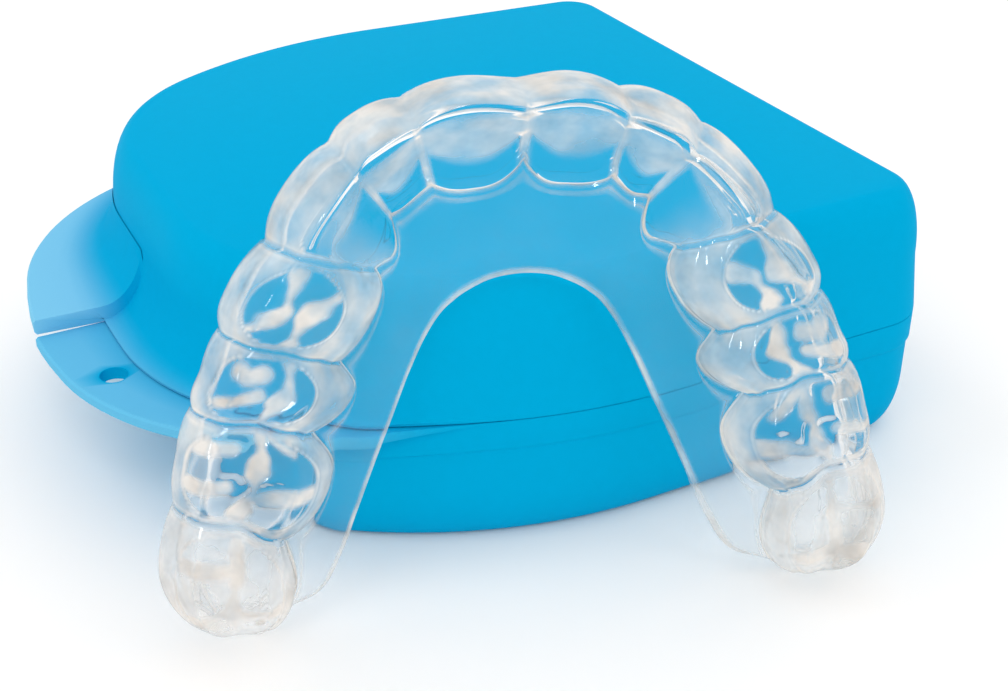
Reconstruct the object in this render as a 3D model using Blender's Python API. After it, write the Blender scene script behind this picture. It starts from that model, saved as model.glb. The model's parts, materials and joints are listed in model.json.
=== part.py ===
"""A snap-lid mouthguard case, and the clear upper-arch mouthguard that leans on the closed case.

Frame: metres, +Z up, origin at the centre of the case's underside. The thumb tab points to -X,
the hinge runs along Y on the +X side, and the mouthguard leans on the lid from the -Y side.
"""

from math import acos, cos, pi, radians, sin

import bmesh
import bpy
from mathutils import Matrix, Vector

MM = 0.001

# The case's plan: straight hinge side, sides that widen a little, and a rounded front.
HINGE_SIDE_X = 37.5 * MM
FRONT_X = -37.5 * MM
WIDEST_X = -10.8 * MM
HINGE_SIDE_HALF_WIDTH = 37.0 * MM
WIDEST_HALF_WIDTH = 38.0 * MM
FRONT_HALF_WIDTH = 23.0 * MM
HINGE_CORNER_RADIUS = 6.5 * MM
SHOULDER_RADIUS = 54.0 * MM
FRONT_CORNER_RADIUS = 26.0 * MM
CORNER_STEPS = 6

# The case's side view.
CASE_HEIGHT = 28.5 * MM
SEAM_Z = 14.4 * MM
GAP = 0.3 * MM
WALL = 1.8 * MM
BASE_EDGE_RUN = 3.0 * MM
BASE_EDGE_RISE = 6.5 * MM
RIM_BAND_HEIGHT = 3.0 * MM
RIM_BAND_PROUD = 0.25 * MM
LID_DRAFT = 0.10
LID_EDGE_RUN = 2.8 * MM
LID_EDGE_RISE = 7.7 * MM
EDGE_STEPS = 4

# The base's upstanding lip, which the lid's skirt closes over.
LIP_INSET = 1.1 * MM
LIP_HEIGHT = 2.0 * MM

# The lid's foot flares out over the tab.
FLARE_REACH = 4.0 * MM
FLARE_HEIGHT = 4.5 * MM
FLARE_STARTS_X = -18.0 * MM
FLARE_FULL_X = -34.0 * MM

# The thumb tab: half an ellipse, split along the slit into a lid half and a base half.
TAB_CENTRE_X = -34.1 * MM
TAB_REACH = 14.6 * MM
TAB_HALF_WIDTH = 28.0 * MM
TAB_ROOT_X = -19.0 * MM
TAB_ROOT_INSET = 0.6 * MM
LID_TAB_THICKNESS = 1.6 * MM
BASE_TAB_THICKNESS = 1.3 * MM
SLIT_Y = -0.9 * MM
TAB_STEPS = 12
CORD_HOLE = Vector((-43.2 * MM, -11.6 * MM))
CORD_HOLE_RADIUS = 1.4 * MM

# The hinge: knuckles on the base and the lid in turn, on one pin.
HINGE_AXIS_X = 40.3 * MM
KNUCKLE_RADIUS = 2.3 * MM
PIN_RADIUS = 1.0 * MM
PIN_LENGTH = 41.0 * MM
BASE_KNUCKLES = ((-20.0 * MM, -12.4 * MM), (-3.7 * MM, 3.7 * MM), (12.4 * MM, 20.0 * MM))
LID_KNUCKLES = ((-12.0 * MM, -4.1 * MM), (4.1 * MM, 12.0 * MM))
WEB_HEIGHT = 6.0 * MM

# The mouthguard in its own frame (x sideways, y towards the front teeth, z towards the biting
# edges), in millimetres: each tooth centre of one side, from the midline to the heel, and the
# point where that tooth's section meets the edge of the palate flange.
TOOTH_ROWS = (
    (4.4, 45.3, 2.6, 32.7),
    (11.1, 43.0, 6.2, 30.9),
    (15.5, 38.7, 8.9, 27.6),
    (19.5, 32.2, 11.2, 22.7),
    (22.3, 25.6, 13.2, 18.0),
    (24.6, 18.9, 15.6, 12.2),
    (26.8, 9.0, 19.4, 5.9),
    (26.1, 3.4, 20.3, 4.2),
)
STATIONS_PER_TOOTH = 3

# Section sizes in millimetres at the midline, the canine and the last molar, in that order.
OUTER_REACH = (5.6, 5.8, 6.6)
GUM_REACH = (3.9, 5.0, 5.4)
TABLE_HALF_WIDTH = (1.1, 1.4, 4.0)
TABLE_OFFSET = (2.6, 1.7, 0.5)
GUARD_WALL = 1.8
GUM_EDGE_Z = -8.6
FLANGE_EDGE_Z = -8.2
FLANGE_THICKNESS = 1.6

# The mouthguard's pose, leaning on the lid with both heels on the ground.
GUARD_X = -16.3 * MM
GUARD_Y = -51.55 * MM
GUARD_YAW = radians(-18.35)
GUARD_TILT = radians(74.0)
GUARD_ROLL = radians(2.9)


def clear_scene():
    for item in list(bpy.data.objects):
        bpy.data.objects.remove(item, do_unlink=True)


def make_collection(name):
    collection = bpy.data.collections.new(name)
    bpy.context.scene.collection.children.link(collection)
    return collection


def make_material(name, colour, roughness, metallic=0.0, transmission=0.0):
    material = bpy.data.materials.new(name)
    material.use_nodes = True
    shader = material.node_tree.nodes["Principled BSDF"]
    shader.inputs["Base Color"].default_value = (*colour, 1.0)
    shader.inputs["Roughness"].default_value = roughness
    shader.inputs["Metallic"].default_value = metallic
    shader.inputs["Transmission Weight"].default_value = transmission
    return material


def case_outline(inset):
    """The plan outline moved inwards by inset: (point, outward normal) pairs, anticlockwise."""
    corners = (
        (HINGE_SIDE_X, -HINGE_SIDE_HALF_WIDTH, HINGE_CORNER_RADIUS),
        (HINGE_SIDE_X, HINGE_SIDE_HALF_WIDTH, HINGE_CORNER_RADIUS),
        (WIDEST_X, WIDEST_HALF_WIDTH, SHOULDER_RADIUS),
        (FRONT_X, FRONT_HALF_WIDTH, FRONT_CORNER_RADIUS),
        (FRONT_X, -FRONT_HALF_WIDTH, FRONT_CORNER_RADIUS),
        (WIDEST_X, -WIDEST_HALF_WIDTH, SHOULDER_RADIUS),
    )
    outline = []
    for index, (x, y, radius) in enumerate(corners):
        corner = Vector((x, y))
        before = Vector(corners[index - 1][:2])
        after = Vector(corners[(index + 1) % len(corners)][:2])
        along_in = (corner - before).normalized()
        along_out = (after - corner).normalized()
        normal_in = Vector((along_in.y, -along_in.x))
        normal_out = Vector((along_out.y, -along_out.x))
        diagonal = (normal_in + normal_out) / (1.0 + normal_in.dot(normal_out))
        arc_radius = max(radius - inset, 0.4 * MM)
        centre = corner - diagonal * (inset + arc_radius)
        turn = acos(normal_in.dot(normal_out))
        for step in range(CORNER_STEPS + 1):
            share = step / CORNER_STEPS
            normal = (normal_in * sin((1.0 - share) * turn) + normal_out * sin(share * turn)) / sin(turn)
            outline.append((centre + normal * arc_radius, normal))
    return outline


def outline_ring(inset, z):
    return [Vector((point.x, point.y, z)) for point, _ in case_outline(inset)]


def flare_share(x):
    """0 on the sides of the case, rising smoothly to 1 round its front."""
    share = (FLARE_STARTS_X - x) / (FLARE_STARTS_X - FLARE_FULL_X)
    share = min(max(share, 0.0), 1.0)
    return share * share * (3.0 - 2.0 * share)


def flared_ring(inset, z, height):
    """A ring of the lid's outer wall, pushed outwards near its foot by a concave quarter curve."""
    ring = []
    fall = 1.0 - min(height / FLARE_HEIGHT, 1.0)
    for point, normal in case_outline(inset):
        reach = FLARE_REACH * flare_share(point.x) * (1.0 - (1.0 - fall * fall) ** 0.5)
        moved = point + normal * reach
        ring.append(Vector((moved.x, moved.y, z)))
    return ring


def loft(name, rings, material, collection):
    """A closed body through rings of equal length, capped at both ends."""
    shape = bmesh.new()
    rows = [[shape.verts.new(point) for point in ring] for ring in rings]
    for lower, upper in zip(rows, rows[1:]):
        for index in range(len(lower)):
            following = (index + 1) % len(lower)
            shape.faces.new((lower[index], lower[following], upper[following], upper[index]))
    shape.faces.new(rows[0])
    shape.faces.new(rows[-1])
    bmesh.ops.recalc_face_normals(shape, faces=shape.faces)
    mesh = bpy.data.meshes.new(name)
    shape.to_mesh(mesh)
    shape.free()
    mesh.materials.append(material)
    mesh.shade_smooth()
    mesh.set_sharp_from_angle(angle=radians(35.0))
    body = bpy.data.objects.new(name, mesh)
    collection.objects.link(body)
    return body


def hide_cutter(cutter):
    cutter.hide_render = True
    cutter.display_type = "WIRE"


def combine(body, other, operation):
    modifier = body.modifiers.new(other.name, "BOOLEAN")
    modifier.operation = operation
    modifier.solver = "EXACT"
    modifier.object = other
    hide_cutter(other)


def quarter(step):
    """Sine and cosine of the edge angle at one step of a quarter round."""
    angle = 0.5 * pi * step / EDGE_STEPS
    return sin(angle), cos(angle)


def base_rings():
    """The base's shell, from the middle of its underside round the rim to its inner floor."""
    rings = []
    for step in range(EDGE_STEPS + 1):
        rise, run = quarter(step)
        inset = RIM_BAND_PROUD + BASE_EDGE_RUN * (1.0 - rise)
        rings.append(outline_ring(inset, BASE_EDGE_RISE * (1.0 - run)))
    band_z = SEAM_Z - RIM_BAND_HEIGHT
    rim_z = SEAM_Z - 0.5 * GAP
    lip_z = SEAM_Z + LIP_HEIGHT
    rings.append(outline_ring(RIM_BAND_PROUD, band_z - RIM_BAND_PROUD))
    rings.append(outline_ring(0.0, band_z))
    rings.append(outline_ring(0.0, rim_z))
    rings.append(outline_ring(LIP_INSET, rim_z))
    rings.append(outline_ring(LIP_INSET, lip_z))
    rings.append(outline_ring(WALL, lip_z))
    for step in reversed(range(EDGE_STEPS + 1)):
        rise, run = quarter(step)
        inset = WALL + BASE_EDGE_RUN * (1.0 - rise)
        rings.append(outline_ring(inset, WALL + BASE_EDGE_RISE * (1.0 - run)))
    return rings


def lid_rings():
    """The lid's shell, from the middle of its top down round the rim to its inner ceiling."""
    rim_z = SEAM_Z + 0.5 * GAP
    edge_z = CASE_HEIGHT - LID_EDGE_RISE
    edge_inset = LID_DRAFT * (edge_z - SEAM_Z)
    rings = []
    for step in range(EDGE_STEPS + 1):
        rise, run = quarter(step)
        inset = edge_inset + LID_EDGE_RUN * (1.0 - rise)
        rings.append(outline_ring(inset, edge_z + LID_EDGE_RISE * run))
    for height in (FLARE_HEIGHT, 0.6 * FLARE_HEIGHT, 0.3 * FLARE_HEIGHT, 0.1 * FLARE_HEIGHT, 0.0):
        rings.append(flared_ring(LID_DRAFT * height, rim_z + height, height))
    recess_inset = LIP_INSET - GAP
    recess_z = SEAM_Z + LIP_HEIGHT + GAP
    rings.append(outline_ring(recess_inset, rim_z))
    rings.append(outline_ring(recess_inset, recess_z))
    rings.append(outline_ring(WALL, recess_z))
    for step in reversed(range(EDGE_STEPS + 1)):
        rise, run = quarter(step)
        inset = WALL + edge_inset + LID_EDGE_RUN * (1.0 - rise)
        rings.append(outline_ring(inset, edge_z + (LID_EDGE_RISE - WALL) * run))
    return rings


def tab_outline(side):
    """One half of the tab, on the +Y side (side 1) or the -Y side (side -1) of the slit."""
    slit = SLIT_Y + 0.5 * GAP * side
    edge = []
    for step in range(TAB_STEPS + 1):
        angle = 0.5 * pi * (1.0 + step / TAB_STEPS)
        x = TAB_CENTRE_X + TAB_REACH * cos(angle)
        edge.append(Vector((x, side * TAB_HALF_WIDTH * sin(angle))))
    edge = [point for point in edge if side * (point.y - slit) > GAP]
    edge.append(Vector((TAB_CENTRE_X - TAB_REACH, slit)))
    root = [point for point, _ in case_outline(TAB_ROOT_INSET)
            if side * (point.y - slit) > GAP and point.x < TAB_ROOT_X]
    root.sort(key=lambda point: side * point.y)
    inner = Vector((FRONT_X + TAB_ROOT_INSET, slit))
    return edge + [inner] + root


def make_tab(name, side, low_z, high_z, material, cutters):
    outline = tab_outline(side)
    rings = [[Vector((point.x, point.y, z)) for point in outline] for z in (low_z, high_z)]
    return loft(name, rings, material, cutters)


def knuckle_profile(side):
    """The knuckle's section in X and Z: a barrel with a web to the wall below or above the seam."""
    inside = HINGE_SIDE_X - 0.7 * MM
    web_far_inside = inside - (0.5 * MM if side > 0 else 0.0)
    near = SEAM_Z + 0.5 * GAP * side
    far = SEAM_Z + WEB_HEIGHT * side
    profile = [Vector((web_far_inside, far)), Vector((inside, near))]
    for degrees in range(176, -61, -16):
        angle = radians(degrees)
        x = HINGE_AXIS_X + KNUCKLE_RADIUS * cos(angle)
        profile.append(Vector((x, SEAM_Z - side * KNUCKLE_RADIUS * sin(angle))))
    return profile


def add_knuckles(shell, side, spans, material, cutters):
    for index, (start, end) in enumerate(spans):
        rings = [[Vector((point.x, y, point.y)) for point in knuckle_profile(side)] for y in (start, end)]
        knuckle = loft(f"{shell.name}_knuckle_{index}", rings, material, cutters)
        combine(shell, knuckle, "UNION")


def make_rod(name, radius, length, location, rotation, material, collection):
    shape = bmesh.new()
    bmesh.ops.create_cone(shape, cap_ends=True, segments=24, radius1=radius, radius2=radius, depth=length)
    mesh = bpy.data.meshes.new(name)
    shape.to_mesh(mesh)
    shape.free()
    mesh.materials.append(material)
    mesh.shade_smooth()
    mesh.set_sharp_from_angle(angle=radians(35.0))
    rod = bpy.data.objects.new(name, mesh)
    rod.location = location
    rod.rotation_euler = rotation
    collection.objects.link(rod)
    return rod


def make_case(parts, cutters, blue):
    """The two shells, each with its half of the tab and its knuckles, on one pin."""
    along_y = (0.5 * pi, 0.0, 0.0)
    axis = (HINGE_AXIS_X, 0.0, SEAM_Z)
    pin_hole = make_rod("pin_hole", PIN_RADIUS + GAP, PIN_LENGTH + 2.0 * MM, axis, along_y, blue, cutters)

    base = loft("case_base", base_rings(), blue, parts)
    base_top = SEAM_Z - 0.5 * GAP
    base_tab = make_tab("base_tab", -1, base_top - BASE_TAB_THICKNESS, base_top, blue, cutters)
    combine(base, base_tab, "UNION")
    hole_at = (CORD_HOLE.x, CORD_HOLE.y, base_top)
    cord_hole = make_rod("cord_hole", CORD_HOLE_RADIUS, 6.0 * MM, hole_at, (0.0, 0.0, 0.0), blue, cutters)
    combine(base, cord_hole, "DIFFERENCE")
    add_knuckles(base, -1, BASE_KNUCKLES, blue, cutters)
    combine(base, pin_hole, "DIFFERENCE")

    lid = loft("case_lid", lid_rings(), blue, parts)
    lid_bottom = SEAM_Z + 0.5 * GAP
    lid_tab = make_tab("lid_tab", 1, lid_bottom, lid_bottom + LID_TAB_THICKNESS, blue, cutters)
    combine(lid, lid_tab, "UNION")
    add_knuckles(lid, 1, LID_KNUCKLES, blue, cutters)
    combine(lid, pin_hole, "DIFFERENCE")

    hinge = bpy.data.objects.new("lid_hinge", None)
    hinge.location = axis
    parts.objects.link(hinge)
    lid.parent = hinge
    lid.location = (-HINGE_AXIS_X, 0.0, -SEAM_Z)

    make_rod("hinge_pin", PIN_RADIUS, PIN_LENGTH, axis, along_y, blue, parts)


def spline_point(points, index, share):
    """A point of the Catmull-Rom curve between points[index] and the next one."""
    last = len(points) - 1
    before = points[max(index - 1, 0)]
    start = points[index]
    end = points[min(index + 1, last)]
    after = points[min(index + 2, last)]
    bend = (2.0 * before - 5.0 * start + 4.0 * end - after) * share ** 2
    twist = (3.0 * (start - end) + after - before) * share ** 3
    return 0.5 * (2.0 * start + (end - before) * share + bend + twist)


def arch_stations():
    """(tooth centre, flange edge) pairs along the arch, from the left heel round to the right."""
    right = [Vector(row) for row in TOOTH_ROWS]
    left = [Vector((-row[0], row[1], -row[2], row[3])) for row in reversed(TOOTH_ROWS)]
    rows = left + right
    stations = []
    for index in range(len(rows) - 1):
        for step in range(STATIONS_PER_TOOTH):
            stations.append(spline_point(rows, index, step / STATIONS_PER_TOOTH))
    stations.append(rows[-1])
    return [(row.xy, row.zw) for row in stations]


def along_side(values, share):
    """Read a (midline, canine, last molar) size at a share of the way from midline to heel."""
    canine_share = 0.35
    if share < canine_share:
        step = share / canine_share
        return values[0] + (values[1] - values[0]) * step
    step = (share - canine_share) / (1.0 - canine_share)
    return values[1] + (values[2] - values[1]) * step


def guard_section(share, closing, flange):
    """One section as (u, z) pairs in millimetres, u outwards from the arch's centre line.

    The palate flange ends at -flange.

    closing runs from 0 on the arch to 1 at the heel's end, where the trough shuts.
    """
    shrink = 1.0 - 0.45 * closing * closing
    outer = along_side(OUTER_REACH, share) * shrink
    gum = along_side(GUM_REACH, share) * shrink
    table = along_side(TABLE_HALF_WIDTH, share) * shrink
    offset = along_side(TABLE_OFFSET, share) * shrink
    inner_table = max(table - 1.3, 0.4)
    middle = 0.5 * (gum + flange)
    drop = 5.0 * closing * closing
    outside = [
        (outer, GUM_EDGE_Z),
        (outer + 0.2, GUM_EDGE_Z + 2.5),
        (outer - 0.4, -3.5 - drop * 0.6),
        (offset + table + 0.5, -1.0 - drop),
        (offset + table - 0.5, -0.1 - drop),
        (offset - table + 0.5, -0.1 - drop),
        (offset - table - 0.6, -1.2 - drop),
        (-gum + 0.3, -5.0 - drop * 0.4),
        (-gum - 0.8, -6.2 - drop * 0.2),
        (-middle, -7.3),
        (-flange, FLANGE_EDGE_Z),
    ]
    inside = [
        (-flange, FLANGE_EDGE_Z - FLANGE_THICKNESS),
        (-middle, -8.9),
        (-gum - 0.2, -8.0),
        (-gum + 2.0, -6.0),
        (offset - inner_table - 0.8, -3.0),
        (offset - inner_table, -1.9),
        (offset + inner_table, -1.9),
        (offset + inner_table + 0.9, -2.9),
        (outer - 0.4 - GUARD_WALL, -4.2),
        (outer + 0.2 - GUARD_WALL, GUM_EDGE_Z + 2.5),
        (outer - GUARD_WALL, GUM_EDGE_Z),
    ]
    if closing > 0.0:
        span = -flange - (outer - GUARD_WALL)
        fall = FLANGE_EDGE_Z - FLANGE_THICKNESS - GUM_EDGE_Z
        flat = []
        for u, z in inside:
            floor = GUM_EDGE_Z + fall * (u - outer + GUARD_WALL) / span
            flat.append((u, floor))
        inside = flat
    return outside + inside


def guard_rings():
    stations = arch_stations()
    last = len(stations) - 1
    lengths = [0.0]
    for (start, _), (end, _) in zip(stations, stations[1:]):
        lengths.append(lengths[-1] + (end - start).length)
    half = 0.5 * lengths[-1]
    rings = []
    for index, (centre, edge) in enumerate(stations):
        along = (stations[min(index + 1, last)][0] - stations[max(index - 1, 0)][0]).normalized()
        outwards = Vector((-along.y, along.x))
        flange = (edge - centre).length
        inwards = (centre - edge) / flange
        closing = max(0.0, 1.0 - min(index, last - index) / 2.0)
        ring = []
        for u, z in guard_section(abs(lengths[index] - half) / half, closing, flange):
            place = centre + u * (outwards if u > 0.0 else inwards)
            ring.append(Vector((place.x, place.y, z)) * MM)
        rings.append(ring)
    return rings


def make_guard(parts, clear):
    """The mouthguard, turned and then lowered until its lowest point is on the ground."""
    turn = Matrix.Rotation(GUARD_YAW, 3, "Z") @ Matrix.Rotation(GUARD_TILT, 3, "X")
    turn = turn @ Matrix.Rotation(GUARD_ROLL, 3, "Y")
    guard = loft("mouthguard", guard_rings(), clear, parts)
    lowest = min((turn @ vertex.co).z for vertex in guard.data.vertices)
    guard.rotation_euler = turn.to_euler()
    guard.location = (GUARD_X, GUARD_Y, -lowest)


def main():
    clear_scene()
    parts = make_collection("mouthguard_with_case")
    cutters = make_collection("cutters")
    blue = make_material("blue_polypropylene", (0.0, 0.38, 0.75), 0.45)
    clear = make_material("clear_resin", (0.9, 0.93, 0.95), 0.1, transmission=0.9)
    make_case(parts, cutters, blue)
    make_guard(parts, clear)


main()
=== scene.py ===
"""The look of a clear mouthguard that leans on its closed blue case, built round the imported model."""

import json
from math import acos, cos, pi, radians, sin

import bmesh
import bpy
import numpy as np
from mathutils import Euler, Matrix, Vector


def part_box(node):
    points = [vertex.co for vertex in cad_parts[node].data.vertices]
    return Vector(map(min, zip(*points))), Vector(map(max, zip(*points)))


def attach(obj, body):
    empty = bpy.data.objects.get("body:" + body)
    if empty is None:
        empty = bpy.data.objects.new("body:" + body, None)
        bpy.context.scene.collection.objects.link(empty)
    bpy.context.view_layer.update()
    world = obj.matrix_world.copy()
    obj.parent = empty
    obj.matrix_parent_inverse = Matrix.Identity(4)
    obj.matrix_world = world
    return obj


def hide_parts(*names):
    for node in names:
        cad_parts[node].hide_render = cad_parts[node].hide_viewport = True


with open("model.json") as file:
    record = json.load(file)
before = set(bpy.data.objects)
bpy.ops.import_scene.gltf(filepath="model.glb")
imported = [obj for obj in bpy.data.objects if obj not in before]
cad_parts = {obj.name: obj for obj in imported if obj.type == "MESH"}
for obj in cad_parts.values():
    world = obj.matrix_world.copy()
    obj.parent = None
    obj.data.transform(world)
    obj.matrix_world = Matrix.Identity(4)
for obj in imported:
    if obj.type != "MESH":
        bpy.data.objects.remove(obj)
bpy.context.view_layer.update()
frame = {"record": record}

MM = 0.001

# ---------------------------------------------------------------- places read from the frame
PIN_LOW, PIN_HIGH = (Vector(corner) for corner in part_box("hinge_pin"))
HINGE = Vector(frame["record"]["behaviour"]["joints"][0]["pos_m"])
CASE_HEIGHT = Vector(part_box("case_lid")[1]).z
SEAM_Z = HINGE.z

# ---------------------------------------------------------------- the case
HINGE_SIDE_X = 37.5 * MM
FRONT_X = -37.5 * MM
WIDEST_X = -10.8 * MM
HINGE_SIDE_HALF_WIDTH = 37.0 * MM
WIDEST_HALF_WIDTH = 37.98 * MM
FRONT_HALF_WIDTH = 23.0 * MM
HINGE_CORNER_RADIUS = 6.5 * MM
SHOULDER_RADIUS = 54.0 * MM
FRONT_CORNER_RADIUS = 26.0 * MM
CORNER_STEPS = 24
STRAIGHT_STEPS = 6

GAP = 0.3 * MM
SEAM_GAP = 0.12 * MM
WALL = 1.8 * MM
BASE_EDGE_RUN = 3.0 * MM
BASE_EDGE_RISE = 6.5 * MM
RIM_BAND_HEIGHT = 3.0 * MM
RIM_BAND_PROUD = 0.25 * MM
LID_DRAFT = 0.10
LID_EDGE_RUN = 2.8 * MM
LID_EDGE_RISE = 7.7 * MM
LIP_INSET = 1.1 * MM
LIP_HEIGHT = 2.0 * MM
EDGE_STEPS = 14
SOFTENING = 0.25 * MM

# The band below the base's rim: how far it sinks under the tab, its foot as a multiple of
# RIM_BAND_PROUD, and its softened edge as pairs of an outset in mm and the same multiple.
BAND_DROP = 2.2 * MM
BAND_FOOT = 2.4
BAND_EDGE = ((-0.2, -1.2), (-0.05, -0.5), (0.0, 0.0))

TAB_REACH = 11.1 * MM
TAB_FADE = 48.0 * MM
FLARE_REACH = 4.0 * MM
FLARE_HEIGHT = 5.0 * MM
FLARE_STEPS = 10
UNDER_FLARE = 1.8 * MM
FOOT_RISE = 0.6 * MM
TAB_TOP_STEPS = 6
TAB_UNDER_STEPS = 3
LID_TAB_THICKNESS = 1.6 * MM
BASE_TAB_THICKNESS = 1.3 * MM
FEATHER = 0.25 * MM
SLIT_Y = -0.9 * MM
CORD_HOLE = Vector((-43.2 * MM, -11.6 * MM))
CORD_HOLE_RADIUS = 1.4 * MM
CORD_HOLE_CUTTER = 8.0 * MM
CORD_HOLE_TURNS = 48

# How fast the tab's thickness, its softened edge and its flare grow from the tab's two ends.
THICKENING = 6.0
SOFTENING_GROWTH = 4.0
FLARE_GROWTH = 2.0

# The tab's outer edge, as pairs of a share of the softening and a share of the thickness.
TAB_EDGE = ((0.0, 0.8), (0.0, 0.2), (1.0, 0.0))

# The tab turns paler from this share of the flare outwards, over this distance: painted light, a paler blue
# standing in for light shining through the thin plastic.
PALE_FROM = 0.40
PALE_RUN = 4.6 * MM
BASE_PALENESS = 0.62

# A knuckle's barrel and the web that joins it to the wall. PIN_END holds a share of the pin's radius
# and a distance from its end.
KNUCKLE_RADIUS = 2.3 * MM
WEB_HEIGHT = 6.0 * MM
KNUCKLE_SINK = 0.7 * MM
LID_WEB_SINK = 0.5 * MM
KNUCKLE_ROUNDING = 0.3 * MM
KNUCKLE_END_SIZE = 0.9
BARREL_DEGREES = range(176, -61, -6)
PIN_END = ((0.75, 0.0), (0.95, 0.12 * MM), (1.0, 0.3 * MM))
PIN_TURNS = 32
BASE_KNUCKLES = ((-20.0 * MM, -12.4 * MM), (-3.7 * MM, 3.7 * MM), (12.4 * MM, 20.0 * MM))
LID_KNUCKLES = ((-12.0 * MM, -4.1 * MM), (4.1 * MM, 12.0 * MM))

# ---------------------------------------------------------------- the mouthguard
GUARD_YAW = radians(-18.35)
GUARD_TILT = radians(74.0)
GUARD_ROLL = radians(2.9)
GUARD_X = -16.3 * MM
GUARD_Y = -51.55 * MM
GUARD_Z = 0.05 * MM

# The arch at each tooth's middle and each boundary between teeth, in mm. A row holds the section's
# centre (x, y), the directions of its cheek side and its tongue side in degrees from sideways, and
# the flange's edge (x, y). x counts outwards from the middle on either side.
MIDLINE = (-0.3, 45.1, 90.0, 90.0, 0.0, 33.0)
LEFT_FRONT = (
    (4.9, 45.3, 84.0, 84.0, 2.6, 32.7),
    (9.0, 44.5, 74.0, 74.0, 4.8, 31.8),
    (11.8, 43.0, 62.0, 66.0, 6.2, 30.9),
    (13.3, 41.8, 50.0, 55.0, 7.5, 29.7),
    (15.7, 38.7, 35.0, 34.0, 8.9, 27.6),
)
RIGHT_FRONT = (
    (3.9, 45.3, 86.0, 86.0, 2.6, 32.7),
    (7.8, 44.4, 80.0, 84.0, 4.8, 31.8),
    (10.4, 43.2, 66.0, 72.0, 6.2, 30.9),
    (12.4, 42.0, 50.0, 55.0, 7.5, 29.7),
    (15.3, 38.7, 36.0, 32.0, 8.9, 27.6),
)
BACK = (
    (17.3, 36.3, 18.0, 16.0, 10.2, 25.0),
    (19.5, 32.2, 16.0, 12.0, 11.2, 22.7),
    (21.3, 29.1, 16.0, 20.0, 12.2, 20.3),
    (22.3, 25.6, 12.0, 12.0, 13.2, 18.0),
    (23.9, 23.2, 8.0, 22.0, 14.2, 15.6),
    (24.6, 18.9, 8.0, 15.0, 15.6, 12.2),
    (25.9, 14.5, 12.0, 33.0, 17.1, 8.6),
    (26.8, 9.0, 4.0, 14.0, 19.4, 5.1),
)
LEFT_HEEL = (26.2, 3.1, 0.0, 4.0, 24.4, 3.3)
RIGHT_HEEL = (26.0, 3.1, 0.0, 4.0, 24.2, 3.3)


def smooth(x):
    """0 up to 0, 1 from 1 on, and an S-curve between."""
    x = np.clip(x, 0.0, 1.0)
    return x * x * (3.0 - 2.0 * x)


# ================================================================ materials
BLUE_DARK = (0.0, 0.362, 0.640, 1.0)
BLUE_LIGHT = (0.0, 0.382, 0.676, 1.0)
# Painted light: the paler blue that stands in for light shining through the thin tab.
BLUE_PAINTED_GLOW = (0.20, 0.56, 0.80, 1.0)
MILK_DARK = (0.66, 0.60, 0.54, 1.0)
MILK_LIGHT = (0.98, 0.90, 0.82, 1.0)
SHADOW_TINT = (0.98, 0.985, 0.99, 1.0)
PAPER = (0.99, 0.965, 0.945, 1.0)
WHITE = (1.0, 1.0, 1.0, 1.0)

MOTTLE_SCALE = 900.0
GRAIN_SCALE = 2600.0
GRAIN_DEPTH = 0.1 * MM
TONE_SCALE = 200.0
PATCH_SCALE = 240.0
RIPPLE_SCALE = 700.0
RIPPLE_DEPTH = 0.2 * MM

# The sheet bends light less than solid plastic would, which keeps its thin walls from going black.
BENDING_IOR = 1.20
GLOSS_IOR = 1.42
MILK_LET_THROUGH = 0.4


def new_material(name):
    """A material with nothing in it but its output node."""
    material = bpy.data.materials.new(name)
    material.use_nodes = True
    tree = material.node_tree
    tree.nodes.clear()
    return material, tree, node(tree, "ShaderNodeOutputMaterial")


def node(tree, kind, **settings):
    made = tree.nodes.new(kind)
    for key, value in settings.items():
        setattr(made, key, value)
    return made


def feed(tree, socket, value):
    """Link value to the socket if it is another node's output, or else set it there."""
    if isinstance(value, bpy.types.NodeSocket):
        tree.links.new(value, socket)
    else:
        socket.default_value = value


def object_place(tree):
    return node(tree, "ShaderNodeTexCoord").outputs["Object"]


def attribute(tree, name):
    return node(tree, "ShaderNodeAttribute", attribute_name=name).outputs["Fac"]


def noise(tree, coordinates, scale, detail=2.0):
    made = node(tree, "ShaderNodeTexNoise")
    made.inputs["Scale"].default_value = scale
    made.inputs["Detail"].default_value = detail
    made.inputs["Roughness"].default_value = 0.5
    tree.links.new(coordinates, made.inputs["Vector"])
    return made.outputs["Fac"]


def bump(tree, height, strength, depth):
    made = node(tree, "ShaderNodeBump")
    made.inputs["Strength"].default_value = strength
    made.inputs["Distance"].default_value = depth
    tree.links.new(height, made.inputs["Height"])
    return made.outputs["Normal"]


def mapped(tree, value, low=0.0, high=1.0, to_low=0.0, to_high=1.0, easing="LINEAR"):
    """value carried from the range low to high into the range to_low to to_high."""
    made = node(tree, "ShaderNodeMapRange", interpolation_type=easing)
    made.inputs["From Min"].default_value = low
    made.inputs["From Max"].default_value = high
    made.inputs["To Min"].default_value = to_low
    made.inputs["To Max"].default_value = to_high
    tree.links.new(value, made.inputs["Value"])
    return made.outputs["Result"]


def calculated(tree, operation, first, second, clamp=False):
    made = node(tree, "ShaderNodeMath", operation=operation, use_clamp=clamp)
    feed(tree, made.inputs[0], first)
    feed(tree, made.inputs[1], second)
    return made.outputs[0]


def mixed_colours(tree, share, first, second):
    made = node(tree, "ShaderNodeMix", data_type="RGBA")
    feed(tree, made.inputs["Factor"], share)
    feed(tree, made.inputs["A"], first)
    feed(tree, made.inputs["B"], second)
    return made.outputs["Result"]


def mixed_shaders(tree, share, first, second):
    """The first shader where share is 0, and the second where it is 1."""
    made = node(tree, "ShaderNodeMixShader")
    feed(tree, made.inputs["Fac"], share)
    tree.links.new(first, made.inputs[1])
    tree.links.new(second, made.inputs[2])
    return made.outputs[0]


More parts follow.
